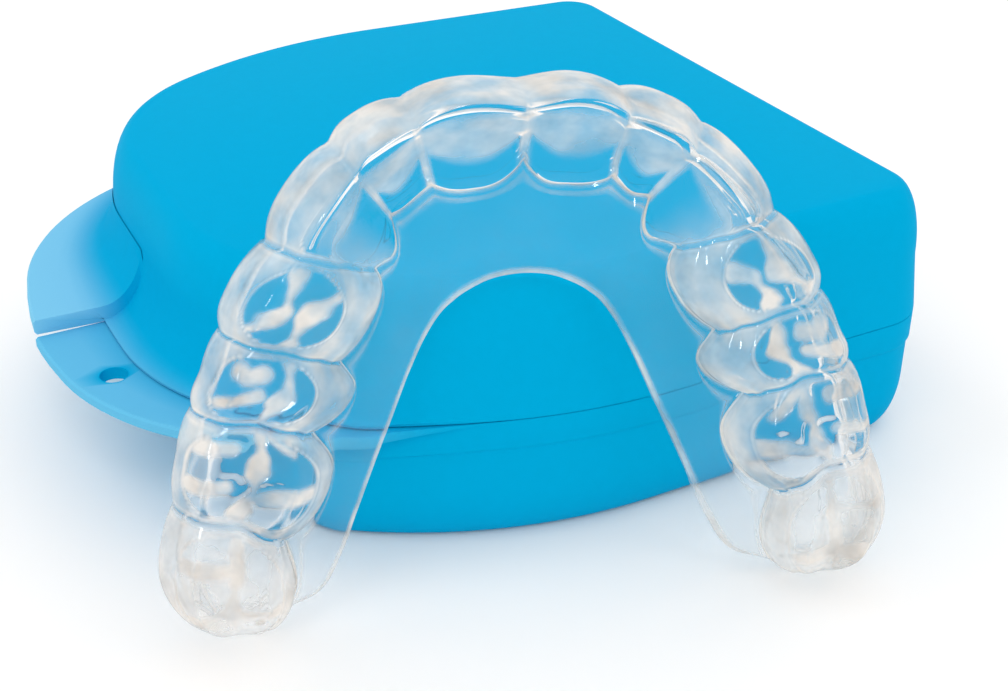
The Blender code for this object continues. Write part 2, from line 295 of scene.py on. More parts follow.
def blue_plastic():
    """Satin polypropylene, paler where the wall thins out into the tab: painted light standing in for light
    that shines through the thin plastic.
    """
    material, tree, output = new_material("blue_polypropylene")
    place = object_place(tree)
    tone = mixed_colours(tree, noise(tree, place, MOTTLE_SCALE, detail=3.0), BLUE_DARK, BLUE_LIGHT)
    grain = noise(tree, place, GRAIN_SCALE)

    shader = node(tree, "ShaderNodeBsdfPrincipled")
    shader.inputs["Roughness"].default_value = 0.5
    shader.inputs["Specular IOR Level"].default_value = 0.005
    shader.inputs["IOR"].default_value = 1.49
    # Painted light: the tab turns paler where light would shine through its thin plastic.
    colour = mixed_colours(tree, attribute(tree, "painted_glow"), tone, BLUE_PAINTED_GLOW)
    tree.links.new(colour, shader.inputs["Base Color"])
    tree.links.new(bump(tree, grain, 0.10, GRAIN_DEPTH), shader.inputs["Normal"])
    tree.links.new(shader.outputs[0], output.inputs["Surface"])
    return material


def clear_part(tree, matt, facing, inside):
    """Bends light. A ray that would leave at a glancing angle goes straight on, or it would look black."""
    bend = node(tree, "ShaderNodeBsdfRefraction")
    bend.inputs["Color"].default_value = WHITE
    bend.inputs["IOR"].default_value = BENDING_IOR
    tree.links.new(mapped(tree, matt, to_low=0.04, to_high=0.14), bend.inputs["Roughness"])
    straight = node(tree, "ShaderNodeBsdfTransparent")
    leaving = calculated(tree, "MULTIPLY", mapped(tree, facing, low=0.35, high=0.50), inside)
    return mixed_shaders(tree, leaving, bend.outputs[0], straight.outputs[0])


def milky_part(tree, place):
    """Scatters light to both sides, in a warm white with a little beige in it."""
    uneven = mapped(tree, noise(tree, place, TONE_SCALE), low=0.32, high=0.58)
    tone = mixed_colours(tree, uneven, MILK_DARK, MILK_LIGHT)
    front = node(tree, "ShaderNodeBsdfDiffuse")
    back = node(tree, "ShaderNodeBsdfTranslucent")
    tree.links.new(tone, front.inputs["Color"])
    tree.links.new(tone, back.inputs["Color"])
    return mixed_shaders(tree, MILK_LET_THROUGH, front.outputs[0], back.outputs[0])


def milk_share(tree, place, matt, facing):
    """Patchy where the milk map of haze and painted reflection is high, and more wherever the sheet is seen
    nearly edge-on, partly a longer path through the sheet and partly painted reflection of the bright
    surroundings.
    """
    patches = mapped(tree, noise(tree, place, PATCH_SCALE, detail=3.0), 0.30, 0.70, 0.50, 1.35)
    steep = mapped(tree, facing, to_low=0.72, to_high=1.60)
    uneven = calculated(tree, "MULTIPLY", patches, steep)
    # Haze with painted reflection, patchy and stronger edge-on.
    patchy_haze_and_sheen = calculated(tree, "MULTIPLY", attribute(tree, "haze_and_sheen"), uneven, clamp=True)
    edge_on = mapped(tree, facing, 0.52, 0.95, 0.0, 0.55, easing="SMOOTHSTEP")
    polished = calculated(tree, "SUBTRACT", 1.0, matt)
    # Edge-on milk on the polished face: partly haze, partly painted reflection.
    edge_on_haze_and_sheen = calculated(tree, "MULTIPLY", edge_on, polished)
    return calculated(tree, "MAXIMUM", patchy_haze_and_sheen, edge_on_haze_and_sheen)


def clear_sheet():
    """Clear thermoformed sheet, polished outside and matt where it touched the cast."""
    material, tree, output = new_material("clear_sheet")
    place = object_place(tree)
    matt = attribute(tree, "matt")
    weight = node(tree, "ShaderNodeLayerWeight")
    weight.inputs["Blend"].default_value = 0.5
    facing = weight.outputs["Facing"]
    inside = node(tree, "ShaderNodeNewGeometry").outputs["Backfacing"]
    clear = clear_part(tree, matt, facing, inside)
    share = milk_share(tree, place, matt, facing)
    body = mixed_shaders(tree, share, clear, milky_part(tree, place))

    gloss = node(tree, "ShaderNodeBsdfGlossy")
    gloss.inputs["Roughness"].default_value = 0.07
    ripple = bump(tree, noise(tree, place, RIPPLE_SCALE), 0.35, RIPPLE_DEPTH)
    tree.links.new(ripple, gloss.inputs["Normal"])
    fresnel = node(tree, "ShaderNodeFresnel")
    fresnel.inputs["IOR"].default_value = GLOSS_IOR
    outside = calculated(tree, "SUBTRACT", 1.0, inside)
    mirrored = calculated(tree, "MULTIPLY", fresnel.outputs[0], outside)
    coated = mixed_shaders(tree, mirrored, body, gloss.outputs[0])

    through = node(tree, "ShaderNodeBsdfTransparent")
    through.inputs["Color"].default_value = SHADOW_TINT
    shadow_ray = node(tree, "ShaderNodeLightPath").outputs["Is Shadow Ray"]
    surface = mixed_shaders(tree, shadow_ray, coated, through.outputs[0])
    tree.links.new(surface, output.inputs["Surface"])
    return material


def floor_paper():
    """Plain matt off-white paper, one colour all over."""
    material, tree, output = new_material("white_sweep")
    shader = node(tree, "ShaderNodeBsdfPrincipled")
    shader.inputs["Base Color"].default_value = PAPER
    shader.inputs["Roughness"].default_value = 0.9
    shader.inputs["Specular IOR Level"].default_value = 0.1
    tree.links.new(shader.outputs[0], output.inputs["Surface"])
    return material


# ================================================================ meshes
def make_piece(name, points, faces, material, painted_glow=None, sharp=40.0):
    """A smooth-shaded object. Its paleness argument is how pale each point is, painted light shining
    through thin plastic, and sharp the least angle of a hard edge.
    """
    mesh = bpy.data.meshes.new(name)
    mesh.from_pydata([tuple(point) for point in points], [], faces)
    if painted_glow is not None:
        layer = mesh.attributes.new("painted_glow", "FLOAT", "POINT")
        layer.data.foreach_set("value", np.asarray(painted_glow, dtype=np.float32))
    shape = bmesh.new()
    shape.from_mesh(mesh)
    bmesh.ops.recalc_face_normals(shape, faces=shape.faces)
    shape.to_mesh(mesh)
    shape.free()
    mesh.materials.append(material)
    mesh.shade_smooth()
    mesh.set_sharp_from_angle(angle=radians(sharp))
    piece = bpy.data.objects.new(name, mesh)
    bpy.context.scene.collection.objects.link(piece)
    return piece


def tube_faces(ring_count, ring_size):
    """Quads between neighbouring rings of equal size, and one face that closes each end."""
    faces = []
    for ring in range(ring_count - 1):
        low = ring * ring_size
        high = low + ring_size
        for index in range(ring_size):
            after = (index + 1) % ring_size
            faces.append((low + index, low + after, high + after, high + index))
    faces.append(tuple(range(ring_size)))
    faces.append(tuple(range((ring_count - 1) * ring_size, ring_count * ring_size)))
    return faces


# ================================================================ the case
def case_outline(inset):
    """The plan outline moved inwards by inset, anticlockwise: points and outward normals."""
    corners = (
        (HINGE_SIDE_X, -HINGE_SIDE_HALF_WIDTH, HINGE_CORNER_RADIUS),
        (HINGE_SIDE_X, HINGE_SIDE_HALF_WIDTH, HINGE_CORNER_RADIUS),
        (WIDEST_X, WIDEST_HALF_WIDTH, SHOULDER_RADIUS),
        (FRONT_X, FRONT_HALF_WIDTH, FRONT_CORNER_RADIUS),
        (FRONT_X, -FRONT_HALF_WIDTH, FRONT_CORNER_RADIUS),
        (WIDEST_X, -WIDEST_HALF_WIDTH, SHOULDER_RADIUS),
    )
    arcs = []
    for index, (x, y, radius) in enumerate(corners):
        corner = Vector((x, y))
        before = Vector(corners[index - 1][:2])
        after = Vector(corners[(index + 1) % len(corners)][:2])
        along_in = (corner - before).normalized()
        along_out = (after - corner).normalized()
        normal_in = Vector((along_in.y, -along_in.x))
        normal_out = Vector((along_out.y, -along_out.x))
        diagonal = (normal_in + normal_out) / (1.0 + normal_in.dot(normal_out))
        arc_radius = max(radius - inset, 0.4 * MM)
        centre = corner - diagonal * (inset + arc_radius)
        turn = acos(normal_in.dot(normal_out))
        arc = []
        for step in range(CORNER_STEPS + 1):
            share = step / CORNER_STEPS
            normal = (normal_in * sin((1.0 - share) * turn) + normal_out * sin(share * turn)) / sin(turn)
            arc.append((centre + normal * arc_radius, normal))
        arcs.append(arc)
    outline = []
    for index, arc in enumerate(arcs):
        outline.extend(arc)
        start = arc[-1]
        end = arcs[(index + 1) % len(arcs)][0]
        if index == 3:
            half = start[0].y
            heights = (0.66 * half, 0.33 * half, SLIT_Y + 0.5 * GAP, SLIT_Y - 0.5 * GAP,
                       -0.4 * half, -0.7 * half)
            outline.extend((Vector((start[0].x, y)), start[1]) for y in heights)
        else:
            for step in range(1, STRAIGHT_STEPS):
                share = step / STRAIGHT_STEPS
                outline.append((start[0].lerp(end[0], share), start[1]))
    return outline


OUTLINE = case_outline(0.0)


def front_distances():
    """Each outline point's distance along the outline from the middle of the front."""
    count = len(OUTLINE)

    def off_middle(index):
        point = OUTLINE[index][0]
        return abs(point.y - SLIT_Y) + abs(point.x - FRONT_X)

    middle = min(range(count), key=off_middle)
    distances = [0.0] * count
    for direction in (1, -1):
        walked = abs(OUTLINE[middle][0].y)
        at = middle
        for _ in range(count // 2):
            step = (at + direction) % count
            walked += (OUTLINE[step][0] - OUTLINE[at][0]).length
            distances[step] = walked
            at = step
    distances[middle] = 0.0
    return distances


def raised(distance):
    """1 in the middle of the front, easing to 0 at the tab's two ends."""
    return 0.5 * (1.0 + cos(pi * min(distance, TAB_FADE) / TAB_FADE))


RAISED = [raised(distance) for distance in front_distances()]
FAR_SIDE = [point.y > SLIT_Y for point, _ in OUTLINE]


def rings_to_piece(name, rings, material):
    """A shell from its rings, each given as its points and how pale each of them is, as painted light
    through the thin tab.
    """
    points = []
    painted_glow = []
    for ring, pale in rings:
        points.extend(ring)
        painted_glow.extend(pale)
    return make_piece(name, points, tube_faces(len(rings), len(OUTLINE)), material, painted_glow)


def plain_ring(inset, z):
    """A level ring that has the case's outline and isn't pale anywhere."""
    return [Vector((point.x, point.y, z)) for point, _ in case_outline(inset)], [0.0] * len(OUTLINE)


def shaped_ring(rule):
    """A ring whose outset, height and paleness come from rule(raised share, on the far side)."""
    ring = []
    pale = []
    for (point, normal), share, far in zip(OUTLINE, RAISED, FAR_SIDE):
        outset, z, painted_glow = rule(share, far)
        moved = point + normal * outset
        ring.append(Vector((moved.x, moved.y, z)))
        pale.append(painted_glow)
    return ring, pale


def painted_glow_share(outset, share, side):
    """How much paler the tab is, away from the wall's foot, and more so on its upper half: painted light
    shining through the thin plastic.
    """
    away = (outset - PALE_FROM * FLARE_REACH * share) / PALE_RUN
    return (1.0 if side > 0 else BASE_PALENESS) * float(smooth(np.float64(away)))


def tab_rings(rim_z, side, thickness, has_tab):
    """The tab's rings from the wall's foot outwards, round its edge and back under it.

    side is 1 for the lid, whose tab lies above rim_z, and -1 for the base, whose tab lies below.
    """
    flare = FLARE_REACH if side > 0 else UNDER_FLARE
    height = FLARE_HEIGHT if side > 0 else 2.0 * UNDER_FLARE

    def deep(share, far):
        if has_tab(far):
            return FEATHER + (thickness - FEATHER) * min(1.0, THICKENING * share)
        return FEATHER

    def reach_at(share, far):
        return (TAB_REACH if has_tab(far) else flare) * share

    def softened(share):
        return SOFTENING * min(1.0, SOFTENING_GROWTH * share)

    rings = []
    for step in range(FLARE_STEPS + 1):
        angle = 0.5 * pi * step / FLARE_STEPS

        def foot(share, far, angle=angle):
            outset = flare * share * (1.0 - cos(angle))
            rise = (FOOT_RISE + height * min(1.0, FLARE_GROWTH * share)) * (1.0 - sin(angle))
            draft = LID_DRAFT * rise if side > 0 else 0.0
            z = rim_z + side * (deep(share, far) + rise)
            return outset - draft, z, painted_glow_share(outset, share, side) if side > 0 else 0.0
        rings.append(shaped_ring(foot))

    for step in range(1, TAB_TOP_STEPS + 1):
        def top(share, far, out=step / TAB_TOP_STEPS):
            reach = flare * share
            beyond = max(reach_at(share, far) - reach, 0.0)
            outset = reach + (beyond - softened(share)) * out
            return outset, rim_z + side * deep(share, far), painted_glow_share(outset, share, side)
        rings.append(shaped_ring(top))

    for inwards, level in TAB_EDGE:
        def edge(share, far, inwards=inwards, level=level):
            outset = reach_at(share, far) - inwards * softened(share)
            return outset, rim_z + side * deep(share, far) * level, painted_glow_share(outset, share, side)
        rings.append(shaped_ring(edge))

    for step in range(1, TAB_UNDER_STEPS + 1):
        def under(share, far, back=step / TAB_UNDER_STEPS):
            outset = (reach_at(share, far) - softened(share)) * (1.0 - back)
            return outset, rim_z, painted_glow_share(outset, share, side)
        rings.append(shaped_ring(under))
    return rings


def quarter(step):
    """How far round a quarter turn the step is, as its sine and its cosine."""
    angle = 0.5 * pi * step / EDGE_STEPS
    return sin(angle), cos(angle)


def make_lid(material):
    """The lid as one closed skin, from the middle of its top down the outside and up the inside."""
    rim_z = SEAM_Z + 0.5 * SEAM_GAP
    edge_z = CASE_HEIGHT - LID_EDGE_RISE
    edge_inset = LID_DRAFT * (edge_z - SEAM_Z)
    rings = []
    for step in range(EDGE_STEPS + 1):
        rise, run = quarter(step)
        inset = edge_inset + LID_EDGE_RUN * (1.0 - rise)
        rings.append(plain_ring(inset, edge_z + LID_EDGE_RISE * run))
    rings.extend(tab_rings(rim_z, 1, LID_TAB_THICKNESS, lambda far: far))
    recess_inset = LIP_INSET - GAP
    recess_z = SEAM_Z + LIP_HEIGHT + GAP
    rings.append(plain_ring(recess_inset, rim_z))
    rings.append(plain_ring(recess_inset, recess_z))
    rings.append(plain_ring(WALL, recess_z))
    for step in reversed(range(EDGE_STEPS + 1)):
        rise, run = quarter(step)
        inset = WALL + edge_inset + LID_EDGE_RUN * (1.0 - rise)
        rings.append(plain_ring(inset, edge_z + (LID_EDGE_RISE - WALL) * run))
    return rings_to_piece("lid_shell", rings, material)


def make_base(material):
    """The base as one closed skin, from under its floor up the outside and down the inside."""
    rings = []
    for step in range(EDGE_STEPS + 1):
        rise, run = quarter(step)
        inset = RIM_BAND_PROUD + BASE_EDGE_RUN * (1.0 - rise)
        rings.append(plain_ring(inset, BASE_EDGE_RISE * (1.0 - run)))
    band_z = SEAM_Z - RIM_BAND_HEIGHT
    rim_z = SEAM_Z - 0.5 * SEAM_GAP
    lip_z = SEAM_Z + LIP_HEIGHT
    rings.append(plain_ring(RIM_BAND_PROUD, band_z - BAND_FOOT * RIM_BAND_PROUD))
    for outset, level in BAND_EDGE:
        def band(share, far, outset=outset, level=level):
            lowered = band_z - BAND_DROP * min(1.0, FLARE_GROWTH * share)
            return outset * MM * (1.0 - share), lowered + level * RIM_BAND_PROUD, 0.0
        rings.append(shaped_ring(band))
    rings.extend(tab_rings(rim_z, -1, BASE_TAB_THICKNESS, lambda far: not far))
    rings.append(plain_ring(LIP_INSET, rim_z))
    rings.append(plain_ring(LIP_INSET, lip_z - SOFTENING))
    rings.append(plain_ring(LIP_INSET + SOFTENING, lip_z))
    rings.append(plain_ring(WALL, lip_z))
    for step in reversed(range(EDGE_STEPS + 1)):
        rise, run = quarter(step)
        inset = WALL + BASE_EDGE_RUN * (1.0 - rise)
        rings.append(plain_ring(inset, WALL + BASE_EDGE_RISE * (1.0 - run)))
    return rings_to_piece("base_shell", rings, material)


def cut_cord_hole(base, material):
    """The hole in the near half of the tab, cut with a cylinder that is then removed."""
    shape = bmesh.new()
    bmesh.ops.create_cone(shape, cap_ends=True, segments=CORD_HOLE_TURNS, radius1=CORD_HOLE_RADIUS,
                          radius2=CORD_HOLE_RADIUS, depth=CORD_HOLE_CUTTER)
    mesh = bpy.data.meshes.new("cord_hole")
    shape.to_mesh(mesh)
    shape.free()
    mesh.materials.append(material)
    cutter = bpy.data.objects.new("cord_hole", mesh)
    cutter.location = (CORD_HOLE.x, CORD_HOLE.y, SEAM_Z)
    bpy.context.scene.collection.objects.link(cutter)
    modifier = base.modifiers.new("cord_hole", "BOOLEAN")
    modifier.operation = "DIFFERENCE"
    modifier.solver = "EXACT"
    modifier.object = cutter
    apply_modifiers(base)
    bpy.data.objects.remove(cutter, do_unlink=True)


def apply_modifiers(piece):
    ready = piece.evaluated_get(bpy.context.evaluated_depsgraph_get())
    mesh = bpy.data.meshes.new_from_object(ready)
    old = piece.data
    piece.modifiers.clear()
    piece.data = mesh
    bpy.data.meshes.remove(old)


def make_knuckle(name, side, start, end, material):
    """One moulded hinge knuckle: a barrel with a web that sweeps into the wall."""
    inside = HINGE_SIDE_X - KNUCKLE_SINK
    near = SEAM_Z + 0.5 * GAP * side
    far = SEAM_Z + WEB_HEIGHT * side
    profile = [Vector((inside - (LID_WEB_SINK if side > 0 else 0.0), far)), Vector((inside, near))]
    for degrees in BARREL_DEGREES:
        angle = radians(degrees)
        x = HINGE.x + KNUCKLE_RADIUS * cos(angle)
        profile.append(Vector((x, SEAM_Z - side * KNUCKLE_RADIUS * sin(angle))))
    points = []
    middle = Vector((HINGE.x, SEAM_Z))
    ends = ((start, KNUCKLE_END_SIZE), (start + KNUCKLE_ROUNDING, 1.0),
            (end - KNUCKLE_ROUNDING, 1.0), (end, KNUCKLE_END_SIZE))
    for y, shrink in ends:
        for point in profile:
            moved = middle + (point - middle) * shrink
            points.append(Vector((moved.x, y, moved.y)))
    faces = tube_faces(len(ends), len(profile))
    return make_piece(name, points, faces, material, [0.0] * len(points))


def make_pin(material):
    """The hinge pin, with rounded ends. It runs through the knuckles, which have no bore drawn."""
    radius = 0.5 * (PIN_HIGH.z - PIN_LOW.z)
    levels = [(size * radius, PIN_LOW.y + depth) for size, depth in PIN_END]
    levels += [(r, PIN_LOW.y + PIN_HIGH.y - y) for r, y in reversed(levels)]
    points = []
    for r, y in levels:
        for turn in range(PIN_TURNS):
            angle = 2.0 * pi * turn / PIN_TURNS
            points.append((HINGE.x + r * cos(angle), y, SEAM_Z + r * sin(angle)))
    faces = tube_faces(len(levels), PIN_TURNS)
    return make_piece("pin_rod", points, faces, material, [0.0] * len(points))


def make_case():
    """The case's eight pieces, each riding on its body. The base knuckles and the pin ride on the base."""
    blue = blue_plastic()
    lid = make_lid(blue)
    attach(lid, "lid")
    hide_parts("case_lid")
    base = make_base(blue)
    cut_cord_hole(base, blue)
    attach(base, "base")
    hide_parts("case_base")
    for body, side, spans in (("base", -1, BASE_KNUCKLES), ("lid", 1, LID_KNUCKLES)):
        for index, (start, end) in enumerate(spans):
            knuckle = make_knuckle(f"{body}_knuckle_{index + 1}", side, start, end, blue)
            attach(knuckle, body)
    pin = make_pin(blue)
    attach(pin, "base")
    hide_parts("hinge_pin")


# ================================================================ the mouthguard
# Section sizes in mm. MID holds the middle of every tooth from the central incisor back, and JOIN
# every boundary from the midline to the heel.
MID = {
    "outer": (5.5, 5.7, 6.0, 6.5, 6.3, 6.4, 6.3),
    "edge": (3.9, 3.2, 2.9, 3.5, 3.5, 3.9, 3.4),
    "inner": (2.4, 1.5, 1.3, -2.7, -3.0, -3.8, -2.9),
    "gum": (4.2, 3.3, 5.0, 6.2, 6.9, 7.1, 5.6),
    "edge_z": (0.0, -0.3, 0.2, -0.2, -0.4, -0.3, -0.6),
    "inner_z": (-0.1, -0.5, -0.4, -0.8, -0.9, -0.3, -0.7),
    "gum_z": (-5.9, -5.8, -6.1, -6.0, -6.0, -6.0, -6.0),
}
JOIN = {
    "outer": (5.3, 4.9, 5.1, 5.2, 5.4, 5.4, 5.6, 5.6),
    "edge": (3.5, 3.0, 2.6, 2.6, 3.0, 3.0, 3.3, 2.6),
    "inner": (2.7, 2.0, 1.6, -0.6, -2.0, -2.3, -2.4, -2.2),
    "gum": (1.4, 2.6, 2.7, 4.2, 4.9, 4.8, 4.4, 5.0),
    "edge_z": (-0.8, -1.0, -1.2, -1.5, -1.4, -1.4, -1.4, -1.6),
    "inner_z": (-0.9, -1.1, -1.4, -1.8, -1.7, -1.6, -1.6, -1.8),
    "gum_z": (-4.4, -4.6, -4.9, -5.2, -5.2, -5.2, -5.2, -5.6),
}
TOOTH_COUNT = len(MID["outer"])
GUM_EDGE = -8.6
FLANGE_EDGE = -8.2
SHEET = 1.5
STATION_STEP = 0.28
ARCH_SAMPLES = 8000
SECTION_STEPS = 9
HEEL_HEIGHT_RUN = 3.2
HEEL_WIDTH_RUN = 6.5
FLANGE_RISE = 9.0
CREASE_BLUR = 9
CREASE_FADE = 0.16
BOWL_DEPTH = 0.55

# How sharp the notches between teeth are and how deep the fissures go, on the sheet's two faces.
OUTSIDE_NOTCH = 2.4
INSIDE_NOTCH = 3.2
OUTSIDE_FISSURE = 0.22
INSIDE_FISSURE = 0.4

# Fissures of the back teeth, as strokes of (along, across): along runs from -1 in front to 1
# behind, and across from -1 at the tongue's edge of the chewing face to 1 at the cheek's.
FISSURES = {
    3: (
        ((-0.70, 0.60), (-0.07, 0.42), (0.40, 0.95), (0.62, 1.30)),
        ((-0.42, -0.84), (-0.13, -0.24), (0.27, -0.10), (0.80, -0.22)),
    ),
    4: (
        ((-0.72, -0.30), (-0.20, -0.37), (0.28, -0.16), (0.80, -0.16)),
        ((-0.46, 0.38), (-0.34, 0.74), (-0.50, 0.98)),
        ((0.02, 0.40), (0.16, 0.82), (0.36, 1.24)),
    ),
    5: (
        ((-0.87, -0.17), (-0.45, -0.20), (-0.03, -0.02), (0.29, -0.10), (0.78, 0.10)),
        ((-0.56, 0.50), (-0.60, 1.55)),
        ((0.20, 0.55), (0.30, 1.55)),
        ((0.45, -0.08), (0.24, -0.80), (0.10, -1.50)),
        ((-0.80, -0.45), (-0.62, -0.95)),
    ),
    6: (
        ((-0.72, -0.10), (-0.33, -0.17), (0.10, -0.08), (0.52, 0.10)),
        ((-0.28, -0.10), (-0.32, 1.30)),
        ((0.34, 0.05), (0.42, 1.40)),
        ((0.36, -0.10), (0.30, -1.40)),
    ),
}
FISSURE_HALF_WIDTH = 0.66
FISSURE_EDGE = 0.85
FISSURE_WANDER = 0.20
FISSURE_SWELL = 0.30

# Milkiness, from 0 where the sheet is clear to 1 where it is milk: partly the sheet's own haze, partly a
# painted reflection of the bright surroundings where walls, ribs, fissures and creases are seen steeply.
WALL_HAZE_SHEEN = (0.52, 0.58)
CLEAR_HAZE_SHEEN = 0.07
LAST_MOLAR_HAZE_SHEEN = 0.42
FISSURE_HAZE_SHEEN = 1.05
WINDOW_RIM_HAZE_SHEEN = 0.78
JOIN_HAZE_SHEEN = 0.66
LABIAL_HAZE_SHEEN = 0.68
STRIPE_HAZE_SHEEN = 0.46
FRONT_JOIN_HAZE_SHEEN = 0.62
CREASE_HAZE_SHEEN = 0.82
SECOND_LINE_HAZE_SHEEN = 0.45
FREE_EDGE_HAZE_SHEEN = 0.62
PALATE_HAZE_SHEEN = 0.03


def catmull_rom(points, shares):
    """Points of the smooth curve through points, at index positions given by shares."""
    last = len(points) - 1
    index = np.clip(np.floor(shares).astype(int), 0, last - 1)
    t = (shares - index)[:, None]
    p1 = points[index]
    p2 = points[index + 1]
    p0 = np.where((index > 0)[:, None], points[np.maximum(index - 1, 0)], 2.0 * p1 - p2)
    p3 = np.where((index + 2 <= last)[:, None], points[np.minimum(index + 2, last)], 2.0 * p2 - p1)
    return 0.5 * (2.0 * p1 + (p2 - p0) * t + (2.0 * p0 - 5.0 * p1 + 4.0 * p2 - p3) * t ** 2
                  + (3.0 * (p1 - p2) + p3 - p0) * t ** 3)


class Arch:
    """Stations at even steps from one heel to the other, with everything that varies along them."""

    def __init__(self):
        right = [MIDLINE, *RIGHT_FRONT, *BACK, RIGHT_HEEL]
        left = [(-x, y, 180.0 - out, 180.0 - into, -edge_x, edge_y)
                for x, y, out, into, edge_x, edge_y in (*LEFT_FRONT, *BACK, LEFT_HEEL)]
        knots = np.array(left[::-1] + right)
        middle = len(left)
        dense_shares = np.linspace(0.0, len(knots) - 1.0, ARCH_SAMPLES)
        dense = catmull_rom(knots[:, :2], dense_shares)
        steps = np.linalg.norm(np.diff(dense, axis=0), axis=1)
        walked = np.concatenate([[0.0], np.cumsum(steps)])
        even = np.linspace(0.0, walked[-1], int(walked[-1] / STATION_STEP))
        shares = np.interp(even, walked, dense_shares)
        at = catmull_rom(knots, shares)
        self.centre = at[:, :2]
        self.out = direction(at[:, 2])
        self.into = direction(at[:, 3])
        self.flange = at[:, 4:6]
        self.to_end = np.minimum(even, walked[-1] - even)
        from_middle = np.abs(shares - middle)
        self.tooth = np.clip((from_middle / 2.0).astype(int), 0, TOOTH_COUNT - 1)
        self.along = np.clip(from_middle - 2.0 * self.tooth - 1.0, -1.0, 1.0)
        self.back = np.interp(from_middle, (4.5, 6.5), (0.0, 1.0))
        knot_at = np.interp(np.arange(len(knots)), dense_shares, walked)
        lengths = np.abs(np.diff(knot_at[middle:][::2]))
        self.half_length = 0.5 * lengths[self.tooth]
        self.side = np.sign(shares - middle)

    def sizes(self, power):
        """Every section size at every station, with the notches between teeth sharper as power falls."""
        near = np.abs(self.along) ** power
        found = {}
        for key, mids in MID.items():
            mids = np.array(mids)
            joins = np.array(JOIN[key])
            join = np.where(self.along < 0.0, joins[self.tooth], joins[self.tooth + 1])
            found[key] = mids[self.tooth] * (1.0 - near) + join * near
        return found


def direction(degrees):
    """Unit vectors at the given angles, one row each."""
    angle = np.radians(degrees)
    return np.stack([np.cos(angle), np.sin(angle)], axis=1)


def mixed(front, back, share):
    """front where share is 0, and back where it is 1."""
    return front * (1.0 - share) + back * share


def section_controls(arch, sizes, inset):
    """Control points of every section from the cheek rim to the gum crease: u outwards and z.

    inset moves the section inwards, for the face that touches the teeth.
    """
    outer = sizes["outer"] - inset
    edge = sizes["edge"] - 0.62 * inset
    inner = sizes["inner"] + 0.30 * inset
    inner = np.minimum(inner, edge - 0.5)
    edge_z = sizes["edge_z"] - inset
    inner_z = sizes["inner_z"] - inset
    gum = -sizes["gum"] + 0.75 * inset
    gum_z = sizes["gum_z"] - 0.85 * inset
    back = arch.back

    def level(height):
        return np.full_like(outer, height)

    cheek_side = [
        (outer - 0.3, level(GUM_EDGE)),
        (outer - 0.1, level(GUM_EDGE + 1.2)),
        (outer + 0.05, level(GUM_EDGE + 2.6)),
        (outer - 0.1, level(-4.6 - 0.2 * inset)),
        (mixed(outer - 0.75, outer - 0.8, back), -2.6 + 0.4 * edge_z),
        (edge + mixed(0.55, 0.85, back), edge_z - mixed(1.0, 1.1, back)),
        (edge + mixed(0.05, 0.25, back), edge_z - mixed(0.15, 0.3, back)),
        (edge - mixed(0.35, 0.5, back), edge_z + 0.05),
    ]
    chewing_face = [(mixed(edge, inner, share), mixed(edge_z, inner_z, share)) for share in (0.3, 0.5, 0.7)]
    span = inner - 0.3 - gum
    steep_z = mixed(-2.9, -2.3, back) - 0.9 * inset
    wall_z = gum_z + mixed(0.95, 1.5, back)
    tongue_side = [
        (inner + mixed(0.1, 0.4, back), inner_z + 0.05),
        (inner - 0.35, inner_z - mixed(0.35, 0.4, back)),
        (inner - mixed(1.0, 1.1, back), mixed(mixed(inner_z, steep_z, 0.5), inner_z - 1.2, back)),
        (mixed(gum + 0.63 * span, gum + 0.42 * span, back), steep_z),
        (mixed(gum + 0.42 * span, gum + 0.2 * span, back), mixed(steep_z - 0.75, steep_z - 1.1, back)),
        (mixed(gum + 0.20 * span, gum + 0.08 * span, back), mixed(steep_z - 1.35, wall_z + 0.3, back)),
        (gum + mixed(0.55, 0.12, back), wall_z),
        (gum + 0.10, gum_z + 0.55),
        (gum - 0.05, gum_z + 0.05),
    ]
    rows = cheek_side + chewing_face + tongue_side
    u = np.stack([row[0] for row in rows], axis=1)
    z = np.stack([row[1] for row in rows], axis=1)
    return u, z, edge, inner


def b_spline(values, steps):
    """A cubic B-spline along each row of control values, from the first value to the last."""
    first = values[:, :1] * 2.0 - values[:, 1:2]
    last = values[:, -1:] * 2.0 - values[:, -2:-1]
    padded = np.concatenate([first, values, last], axis=1)
    count = values.shape[1] - 1
    out = []
    for index in range(count):
        p0, p1, p2, p3 = (padded[:, index + k] for k in range(4))
        for step in range(steps if index < count - 1 else steps + 1):
            t = step / steps
            out.append(((1 - t) ** 3 * p0 + (3 * t ** 3 - 6 * t ** 2 + 4) * p1
                        + (-3 * t ** 3 + 3 * t ** 2 + 3 * t + 1) * p2 + t ** 3 * p3) / 6.0)
    return np.stack(out, axis=1)


def stroke_distance(along, across, stroke, half_length, half_width):
    """Distance in mm from each point of the chewing face to a stroke of short straight runs."""
    x = along * half_length
    y = across * half_width
    nearest = np.full(y.shape, 99.0)
    for (a0, c0), (a1, c1) in zip(stroke[:-1], stroke[1:]):
        x0, y0 = a0 * half_length, c0 * half_width
        dx, dy = a1 * half_length - x0, c1 * half_width - y0
        share = np.clip(((x - x0) * dx + (y - y0) * dy) / (dx ** 2 + dy ** 2), 0.0, 1.0)
        nearest = np.minimum(nearest, np.hypot(x - x0 - share * dx, y - y0 - share * dy))
    return nearest


